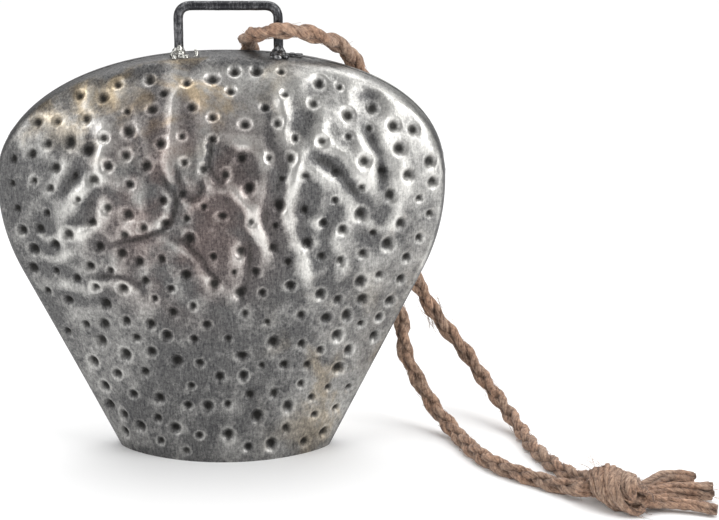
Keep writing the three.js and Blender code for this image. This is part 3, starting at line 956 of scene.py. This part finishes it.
# %% Welds
def drop(centre, reach, height, seed, roughness=0.15, rows=26, sides=36):
    """A lump of metal: an egg-shaped surface whose radius wanders smoothly by the roughness."""
    fall = np.linspace(0.02, np.pi - 0.02, rows)[:, None]
    around = np.linspace(0.0, 2.0 * np.pi, sides, endpoint=False)[None, :]
    x = np.cos(around) * np.sin(fall)
    y = np.sin(around) * np.sin(fall)
    z = np.cos(fall) + 0.0 * around
    wander = 1.0 + roughness * hills(2.2 + 1.6 * x + seed, 5.0 + 1.6 * y + 1.3 * z, seed)
    wander += 0.35 * roughness * hills(9.0 + 3.5 * x, 7.0 + 3.5 * y + fall, seed + 1)
    spot = np.stack([reach * wander * x, reach * wander * y, height * wander * z], axis=-1)
    points = spot.reshape(-1, 3) + np.asarray(centre)
    first_cap = np.arange(sides)[None, :]
    last_cap = ((rows - 1) * sides + np.arange(sides))[None, ::-1]
    return points, [grid_faces(rows, sides, around=True)[:, ::-1], first_cap, last_cap]


def join_plain(parts):
    """Several (points, faces) parts as one."""
    return join_parts([(points, faces, points) for points, faces in parts])[:2]


def weld(name, node, drops, extra=()):
    """Drops of weld metal given as (across, front to back, up, reach, height), in millimetres."""
    parts = []
    for k, (across, back, up, reach, height) in enumerate(drops):
        parts.append(drop(np.array([across, back, up]) * MM, reach * MM, height * MM, 3 + k))
    points, faces = join_plain(parts + list(extra))
    piece = make_piece(name, points, faces, "bell")
    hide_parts(node)
    return piece


curl_radius = 0.75 * MM
curl_line = curve_through(np.array([
    (-15.6, -6.6, 179.9), (-13.4, -7.5, 179.3), (-11.2, -7.2, 179.7),
    (-9.8, -6.4, 181.1), (-9.9, -5.8, 182.4), (-10.8, -5.5, 182.8)]) * MM, 0.3 * MM)
curl = metal_rod(curl_line, to_back, curl_radius, seed=6, sides=14, uneven=0.08)
left_weld = weld("weld_left", "handle_weld_left", [
    (-18.1, -1.2, 181.6, 3.1, 2.2), (-19.7, -4.6, 180.7, 2.1, 1.9), (-16.8, -5.6, 180.5, 2.3, 2.1),
    (-14.7, -6.5, 179.9, 1.8, 1.3), (-17.6, -3.4, 182.6, 1.6, 2.6), (-19.6, -7.1, 179.7, 1.4, 1.2),
], [curl])
right_weld = weld("weld_right", "handle_weld_right", [
    (25.8, -1.0, 181.4, 3.2, 2.2), (24.2, -4.4, 180.8, 2.1, 1.9), (27.4, -4.8, 180.6, 2.1, 1.9),
    (25.9, -6.7, 179.8, 2.2, 1.9), (28.9, -6.2, 180.0, 1.5, 1.2), (25.1, -2.8, 182.7, 1.5, 2.3),
    (23.1, -6.3, 180.1, 1.3, 1.1), (31.6, -2.6, 180.8, 1.6, 0.6), (34.6, -2.0, 180.5, 1.9, 0.5),
])

# %% [markdown]
# ## The clapper
#
# Inside hang a wire staple, a ring and a rod whose top is bent into an eye; the ball at the bottom is
# held by the rod's peened end. They are plain forged iron, so each is a swept wire or a turned lump
# with the same small unevenness.

# %% Staple and ring
staple_low, staple_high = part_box("clapper_staple")
staple_radius = 1.5 * MM
staple_left = staple_low.x + staple_radius
staple_right = staple_high.x - staple_radius
staple_bar = staple_low.z + staple_radius
staple_line = bent_path([
    (staple_left, 0, staple_high.z), (staple_left, 0, staple_bar),
    (staple_right, 0, staple_bar), (staple_right, 0, staple_high.z)], bend=3.0 * MM, spacing=0.5 * MM)
points, faces = metal_rod(staple_line, to_back, staple_radius, seed=2, sides=18)
staple = make_piece("staple_wire", points, faces, "bell")
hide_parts("clapper_staple")
staple_welds = []
for label, x in (("left", -8.0), ("right", 8.0)):
    drops = [(x, 0.0, 178.6, 2.9, 1.6), (x + 1.0, -0.9, 178.0, 1.6, 1.3)]
    staple_welds.append(weld("staple_drops_" + label, "staple_weld_" + label, drops))

ring_low, ring_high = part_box("hanger_ring")
ring_wire = 1.3 * MM
ring_radius = 0.5 * (ring_high.z - ring_low.z) - ring_wire
ring_middle = 0.5 * (ring_low.z + ring_high.z)
turn = np.linspace(0.0, 2.0 * np.pi, 97)
ring_line = np.stack([0.0 * turn, ring_radius * np.cos(turn),
                      ring_middle + ring_radius * np.sin(turn)], axis=1)
points, faces = metal_rod(ring_line, (1.0, 0.0, 0.0), ring_wire, seed=4, sides=16, uneven=0.02)
ring = make_piece("ring_of_wire", points, faces, "ring")
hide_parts("hanger_ring")

# %% Clapper
rod_low, rod_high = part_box("clapper_rod")
rod_radius = 1.6 * MM
eye_radius = 5.0 * MM
eye_height = rod_high.z - rod_radius - eye_radius
eye_turn = np.radians(np.arange(228.0, -53.0, -20.0))
eye = np.stack([eye_radius * np.cos(eye_turn), 0.0 * eye_turn,
                eye_height + eye_radius * np.sin(eye_turn)], axis=1)
stem = np.linspace((0.0, 0.0, rod_low.z + 0.05 * MM), (0.0, 0.0, eye_height - 2.0 * eye_radius), 13)
rod_line = curve_through(np.vstack([stem, eye]), 0.6 * MM)
points, faces = metal_rod(rod_line, to_back, rod_radius, seed=7, sides=20, uneven=0.02)
rod = make_piece("clapper_wire", points, faces, "clapper")
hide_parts("clapper_rod")

ball_low, ball_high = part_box("clapper_ball")
ball_middle = 0.5 * (ball_low + ball_high)
ball_radius = 0.5 * (ball_high.x - ball_low.x)
points, faces = drop(ball_middle, ball_radius, ball_radius, seed=12, roughness=0.03)
ball = make_piece("clapper_knob", points, faces, "clapper")
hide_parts("clapper_ball")

peen_low, peen_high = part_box("clapper_peen")
peen_middle = 0.5 * (peen_low + peen_high)
peen_reach = peen_high.x - peen_middle.x
peen_height = peen_high.z - peen_middle.z
points, faces = drop(peen_middle, peen_reach, peen_height, seed=13, roughness=0.08)
peen = make_piece("clapper_button", points, faces, "clapper")
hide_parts("clapper_peen")

# %% [markdown]
# ## Material helpers
#
# A material is a graph of nodes. Patterns that several materials use are node groups: each takes a
# place on the piece and gives back a mask or a height, and each material decides what to do with it.

# %% Nodes
def add_node(tree, kind, inputs=None, **settings):
    """A new node with its settings; an input may be a value or another node's output."""
    made = tree.nodes.new(kind)
    for name, value in settings.items():
        setattr(made, name, value)
    for key, value in (inputs or {}).items():
        if isinstance(value, bpy.types.NodeSocket):
            tree.links.new(value, made.inputs[key])
        else:
            made.inputs[key].default_value = value
    return made


def maths(tree, operation, a, b=0.0, clamp=False):
    """The output of a math node."""
    return add_node(tree, "ShaderNodeMath", {0: a, 1: b}, operation=operation, use_clamp=clamp).outputs[0]


def times(tree, a, b):
    """a times b."""
    return maths(tree, "MULTIPLY", a, b)


def centred(tree, pattern):
    """A pattern that ran from 0 to 1 about one half, moved down to swing about 0."""
    return maths(tree, "SUBTRACT", pattern, 0.5)


def weighted_sum(tree, start, terms, clamp=False):
    """start plus, for each (value, weight) of the terms, value times weight. Clamped, the sum stays
    between 0 and 1."""
    total = start
    for value, weight in terms:
        total = maths(tree, "ADD", total, times(tree, value, weight))
    total.node.use_clamp = clamp
    return total


def blend_colour(tree, share, low, high, how="MIX"):
    """The low colour where the share is 0 and the high colour where it is 1; or, for MULTIPLY, the
    low colour multiplied by the high one as far as the share says."""
    made = add_node(tree, "ShaderNodeMix", {"Factor": share, "A": low, "B": high},
                    data_type="RGBA", blend_type=how)
    return made.outputs["Result"]


def noise(tree, place, scale, detail=4.0, roughness=0.55, distortion=0.0):
    """Noise of the given scale, in hills per metre."""
    return add_node(tree, "ShaderNodeTexNoise", {
        "Vector": place, "Scale": scale, "Detail": detail, "Roughness": roughness,
        "Distortion": distortion}).outputs["Fac"]


def steps_between(tree, value, low, high):
    """0 at low, 1 at high, smooth between."""
    return add_node(tree, "ShaderNodeMapRange", {"Value": value, "From Min": low, "From Max": high},
                    interpolation_type="SMOOTHSTEP").outputs["Result"]


def new_group(name, inputs, outputs):
    """An empty node group with named inputs and outputs, given as (name, socket kind, value)."""
    group = bpy.data.node_groups.new(name, "ShaderNodeTree")
    for label, kind, value in inputs:
        socket = group.interface.new_socket(label, in_out="INPUT", socket_type=kind)
        if value is not None:
            socket.default_value = value
    for label, kind in outputs:
        group.interface.new_socket(label, in_out="OUTPUT", socket_type=kind)
    return group, group.nodes.new("NodeGroupInput").outputs, group.nodes.new("NodeGroupOutput").inputs


# %% Material tools
def material(name):
    """An empty material with a Principled shader; gives the material, its nodes and the shader."""
    made = bpy.data.materials.new(name)
    made.use_nodes = True
    return made, made.node_tree, made.node_tree.nodes["Principled BSDF"]


def finish(piece_list, made):
    """Gives a finished material to some pieces."""
    for piece in piece_list:
        piece.data.materials.append(made)
        print(piece.name, "is", made.name, "with", len(made.node_tree.nodes), "nodes")


def stored(tree, name, kind="Fac"):
    """Numbers stored on the mesh under a name."""
    return add_node(tree, "ShaderNodeAttribute", attribute_name=name).outputs[kind]


def object_place(tree):
    """The place on the object, in metres."""
    return add_node(tree, "ShaderNodeTexCoord").outputs["Object"]


def set_bump(tree, shader, height, strength, distance):
    """Small relief from a height pattern."""
    bump = add_node(tree, "ShaderNodeBump", {"Height": height, "Strength": strength, "Distance": distance})
    tree.links.new(bump.outputs["Normal"], shader.inputs["Normal"])


def oval(tree, place, across, up, half_width, half_height):
    """The distance from a place on the face, counted so that an oval of the given half width and half
    height, in millimetres, lies at 1. Front to back doesn't count."""
    gap = add_node(tree, "ShaderNodeVectorMath", {0: place, 1: (across * MM, 0.0, up * MM)},
                   operation="SUBTRACT").outputs[0]
    scale = (1.0 / (half_width * MM), 0.0, 1.0 / (half_height * MM))
    scaled = add_node(tree, "ShaderNodeVectorMath", {0: gap, 1: scale}, operation="MULTIPLY").outputs[0]
    return add_node(tree, "ShaderNodeVectorMath", {0: scaled}, operation="LENGTH").outputs["Value"]


def soft_area(tree, across, up, edge_across, edge_up):
    """An area with soft edges: from 0 to 1 between two places across, times from 0 to 1 between two
    heights, in millimetres."""
    by_side = steps_between(tree, across, edge_across[0] * MM, edge_across[1] * MM)
    by_height = steps_between(tree, up, edge_up[0] * MM, edge_up[1] * MM)
    return times(tree, by_side, by_height)


# %% Shared group: brushed grain
grain_fineness = 1500.0
grain_group, given, result = new_group(
    "brushed_grain", [("Place", "NodeSocketVector", None), ("Fineness", "NodeSocketFloat", grain_fineness)],
    [("Grain", "NodeSocketFloat"), ("Speckle", "NodeSocketFloat")])
stretched = add_node(grain_group, "ShaderNodeMapping", {"Vector": given["Place"], "Scale": (1.0, 1.0, 0.22)})
strokes = noise(grain_group, stretched.outputs["Vector"], given["Fineness"], 3.0)
dots = noise(grain_group, given["Place"], 900.0, 5.0, 0.75)
grain_group.links.new(strokes, result["Grain"])
grain_group.links.new(dots, result["Speckle"])


def brushed_grain(tree, place, fineness):
    """The group placed in a material: short upright strokes, and speckles."""
    grain = add_node(tree, "ShaderNodeGroup", {"Place": place, "Fineness": fineness}, node_tree=grain_group)
    return grain.outputs["Grain"], grain.outputs["Speckle"]


print("group", grain_group.name, len(grain_group.nodes), "nodes")

# %% [markdown]
# ## Pewter patina
#
# The sheet was blackened and then rubbed back: the black stays in the pits and grooves, and the
# raised creases are rubbed to bright silver. Heat left faint brown and straw-coloured areas. The
# masks for pits and raised places come from the mesh, where the shape is known exactly, and noise
# breaks them up. Light and shade are painted in as well: painted highlight over the right shoulder,
# the top centre and the lower right, round each dent and along the edge of the right shoulder, and
# painted shade on the left side, down the middle, along the rim band and along the top edge.

# %% Patina: how bright, with painted highlight and shade
black_pewter = (0.045, 0.045, 0.049, 1.0)
rubbed_silver = (0.66, 0.65, 0.62, 1.0)
pit_black = (0.028, 0.027, 0.025, 1.0)
brown_tint = (1.08, 0.86, 0.82, 1.0)
straw_tint = (1.15, 0.90, 0.56, 1.0)

pewter, tree, shader = material("pewter")
place = object_place(tree)
grain, speckle = brushed_grain(tree, place, grain_fineness)
pit = stored(tree, "pit")
rim = stored(tree, "rim")
split = add_node(tree, "ShaderNodeSeparateXYZ", {0: place}).outputs
across, up = split["X"], split["Z"]

mottle = noise(tree, place, 130.0, 6.0, 0.65)
# Painted highlight over the right shoulder, top centre and lower right; painted shade left and middle
shoulder = steps_between(tree, oval(tree, place, 70.0, 146.0, 40.0, 38.0), 1.2, 0.3)
left_side_shade = soft_area(tree, across, up, (-45.0, -88.0), (150.0, 124.0))
top_centre_highlight = soft_area(tree, across, up, (-50.0, 10.0), (135.0, 175.0))
low_right = soft_area(tree, across, up, (10.0, 45.0), (95.0, 35.0))
from_dark = maths(tree, "ABSOLUTE", maths(tree, "SUBTRACT", across, 2.0 * MM))
middle_shade = soft_area(tree, from_dark, up, (64.0, 24.0), (172.0, 130.0))
bright = weighted_sum(tree, 0.25, [
    (centred(tree, noise(tree, place, 24.0, 5.0, 0.6, 0.4)), 1.1),
    (centred(tree, mottle), 0.9),
    (centred(tree, noise(tree, place, 420.0, 5.0, 0.75)), 0.8),
    (shoulder, 0.17),
    (left_side_shade, -0.33),
    (stored(tree, "wear_and_painted_light"), 0.95),
    (top_centre_highlight, 0.26),
    (low_right, 0.12),
    (middle_shade, -0.20),
    # painted shade along the rim band
    (rim, -0.30),
    (stored(tree, "inside"), -0.35),
], clamp=True)
fine = weighted_sum(tree, 0.0, [(centred(tree, grain), 0.9), (centred(tree, speckle), 1.4)])
fine_share = weighted_sum(tree, 0.35, [(bright, 0.65)])
bright = weighted_sum(tree, 0.12, [(bright, 0.88), (fine, fine_share)], clamp=True)
colour = blend_colour(tree, bright, black_pewter, rubbed_silver)

# %% Patina: heat tints and black pits
dull = weighted_sum(tree, 1.0, [(bright, -0.8)])
brown = steps_between(tree, oval(tree, place, -14.0, 118.0, 55.0, 62.0), 1.1, 0.2)
brown_patches = steps_between(tree, noise(tree, place, 36.0, 4.0), 0.34, 0.56)
brown = times(tree, times(tree, brown, dull), brown_patches)
colour = blend_colour(tree, brown, colour, brown_tint, "MULTIPLY")

straw = soft_area(tree, across, up, (45.0, -10.0), (132.0, 168.0))
straw = weighted_sum(tree, straw, [(low_right, 0.6)])
straw_patches = steps_between(tree, noise(tree, place, 42.0, 4.0, 0.6, 0.5), 0.45, 0.64)
straw = times(tree, times(tree, straw, straw_patches), maths(tree, "SUBTRACT", 1.0, rim))
colour = blend_colour(tree, times(tree, straw, 0.75), colour, straw_tint, "MULTIPLY")
colour = blend_colour(tree, times(tree, pit, 0.93), colour, pit_black)

tree.links.new(colour, shader.inputs["Base Color"])
shader.inputs["Metallic"].default_value = 0.9
rough = weighted_sum(tree, 0.54, [(bright, -0.22), (pit, 0.25)])
tree.links.new(rough, shader.inputs["Roughness"])
relief = weighted_sum(tree, mottle, [(grain, 0.5), (speckle, 0.35)])
set_bump(tree, shader, relief, 0.6, 0.30 * MM)
finish([front, back], pewter)

# %% [markdown]
# ## Solder, steel and iron
#
# The seam and welds are filler metal: bright where it is fresh, dark where it is burnt. The handle is
# dark drawn steel, paler where its oxide is rubbed thin, and the clapper is plain dark iron. One
# function makes all four, because they differ only in their two colours and in how they are mixed.

# %% Metals
def plain_metal(name, dark, light, light_share, roughness, streaks, bump_size, specks=1.6):
    """Metal that goes from dark to light by noise: broad patches, streaks and specks."""
    made, tree, shader = material(name)
    place = object_place(tree)
    grain, speckle = brushed_grain(tree, place, grain_fineness)
    patches = noise(tree, place, 140.0, 5.0, 0.6)
    share = weighted_sum(tree, light_share, [
        (centred(tree, patches), 2.2),
        (centred(tree, grain), streaks),
        (centred(tree, speckle), specks),
    ], clamp=True)
    tree.links.new(blend_colour(tree, share, (*dark, 1.0), (*light, 1.0)), shader.inputs["Base Color"])
    tree.links.new(weighted_sum(tree, roughness, [(share, -0.12)]), shader.inputs["Roughness"])
    shader.inputs["Metallic"].default_value = 0.9
    set_bump(tree, shader, maths(tree, "ADD", speckle, patches), 0.6, bump_size)
    return made


steel = plain_metal("dark_steel", (0.035, 0.036, 0.040), (0.24, 0.24, 0.25), light_share=0.08,
                    roughness=0.44, streaks=2.0, bump_size=0.12 * MM)
iron = plain_metal("iron", (0.03, 0.028, 0.026), (0.17, 0.15, 0.135), light_share=0.35,
                   roughness=0.6, streaks=1.0, bump_size=0.3 * MM)
bright_weld = plain_metal("bright_weld", (0.08, 0.08, 0.078), (0.72, 0.71, 0.66), light_share=0.5,
                          roughness=0.30, streaks=0.4, bump_size=0.04 * MM, specks=0.5)
dark_weld = plain_metal("dark_weld", (0.03, 0.03, 0.034), (0.30, 0.30, 0.30), light_share=0.3,
                        roughness=0.36, streaks=0.4, bump_size=0.04 * MM, specks=0.5)
finish([handle, rod, peen], steel)
finish([staple, ring, ball], iron)
finish([left_weld], bright_weld)
finish([right_weld, seam] + staple_welds, dark_weld)

# %% [markdown]
# ## Jute
# Jute is matt and tan, paler where fibres catch the light, and darkened to dark brown down between
# the yarns as painted shade. The fibres run along each yarn, so their streaks follow the fibre
# coordinates stored on the mesh and twist with the yarn.

# %% Jute
jute_dark = (0.125, 0.068, 0.044, 1.0)
jute_pale = (0.58, 0.41, 0.30, 1.0)
jute_warm = (0.64, 0.40, 0.27, 1.0)
# the deep brown below is the colour of the painted shade between the yarns
jute_shade_brown = (0.05, 0.027, 0.017, 1.0)

jute, tree, shader = material("jute")
fibre_place = stored(tree, "fibre", "Vector")
along_fibre = add_node(tree, "ShaderNodeMapping", {"Vector": fibre_place, "Scale": (2.4, 2.4, 0.55)})
streaks = noise(tree, along_fibre.outputs["Vector"], 1.0, 6.0, 0.75)
patches = noise(tree, object_place(tree), 520.0, 5.0, 0.7)
pale_share = weighted_sum(tree, 0.42, [
    (centred(tree, streaks), 2.7),
    (centred(tree, patches), 2.2),
], clamp=True)
warmth = steps_between(tree, noise(tree, object_place(tree), 85.0, 3.0), 0.36, 0.64)
pale_fibre = blend_colour(tree, warmth, jute_pale, jute_warm)
colour = blend_colour(tree, pale_share, jute_dark, pale_fibre)
# painted shade: points deep between the yarns are blended to deep brown
between_yarns_shade = maths(tree, "SUBTRACT", 1.0, stored(tree, "open"))
colour = blend_colour(tree, times(tree, between_yarns_shade, 0.8), colour, jute_shade_brown)
tree.links.new(colour, shader.inputs["Base Color"])
shader.inputs["Roughness"].default_value = 0.9
shader.inputs["Sheen Weight"].default_value = 0.15
set_bump(tree, shader, maths(tree, "ADD", streaks, patches), 1.0, 0.55 * MM)
finish([cord, knot, fuzz] + list(tails.values()), jute)

# %% [markdown]
# ## Floor and light
#
# The bell stands on a plain pale floor. Two tall softboxes, left and right of the camera, give the
# bright edges of every dent on either half, a wide soft sun lights the shoulders from above, and a
# pale world fills the rest.

# %% Floor
floor_half = 4.0
floor_mesh = bpy.data.meshes.new("floor")
floor_corners = [(-floor_half, -floor_half, 0), (floor_half, -floor_half, 0),
                 (floor_half, floor_half, 0), (-floor_half, floor_half, 0)]
floor_mesh.from_pydata(floor_corners, [], [(0, 1, 2, 3)])
floor = bpy.data.objects.new("floor", floor_mesh)
bpy.context.scene.collection.objects.link(floor)
pale, _, shader = material("pale_floor")
print("floor", 2.0 * floor_half, "m wide")
shader.inputs["Base Color"].default_value = (0.93, 0.93, 0.93, 1.0)
shader.inputs["Roughness"].default_value = 0.9
floor_mesh.materials.append(pale)


# %% Lights
def softbox(name, place, width, height, power, target=(0.0, 0.0, 0.1)):
    """A rectangular area light that faces the target."""
    light = bpy.data.lights.new(name, "AREA")
    light.shape = "RECTANGLE"
    light.size = width
    light.size_y = height
    light.energy = power
    lamp = bpy.data.objects.new(name, light)
    lamp.location = place
    lamp.rotation_euler = (Vector(target) - Vector(place)).to_track_quat("-Z", "Y").to_euler()
    bpy.context.scene.collection.objects.link(lamp)
    return lamp


softbox("left_softbox", (-1.1, -0.7, 0.8), width=0.8, height=1.3, power=9.5)
softbox("right_softbox", (1.15, -0.6, 0.75), width=0.8, height=1.3, power=14.0)
sky = bpy.data.lights.new("overhead_sky", "SUN")
sky.energy = 2.4
sky.angle = math.radians(70.0)
overhead = bpy.data.objects.new("overhead_sky", sky)
overhead.rotation_euler = (math.radians(-25.0), 0.0, 0.0)
bpy.context.scene.collection.objects.link(overhead)

world = bpy.data.worlds.new("studio")
bpy.context.scene.world = world
world.use_nodes = True
world.node_tree.nodes["Background"].inputs["Color"].default_value = (1.0, 1.0, 1.0, 1.0)
world.node_tree.nodes["Background"].inputs["Strength"].default_value = 0.30
bpy.context.scene.view_settings.view_transform = "Standard"
print("lights:", ", ".join(sorted(light.name for light in bpy.data.lights)))
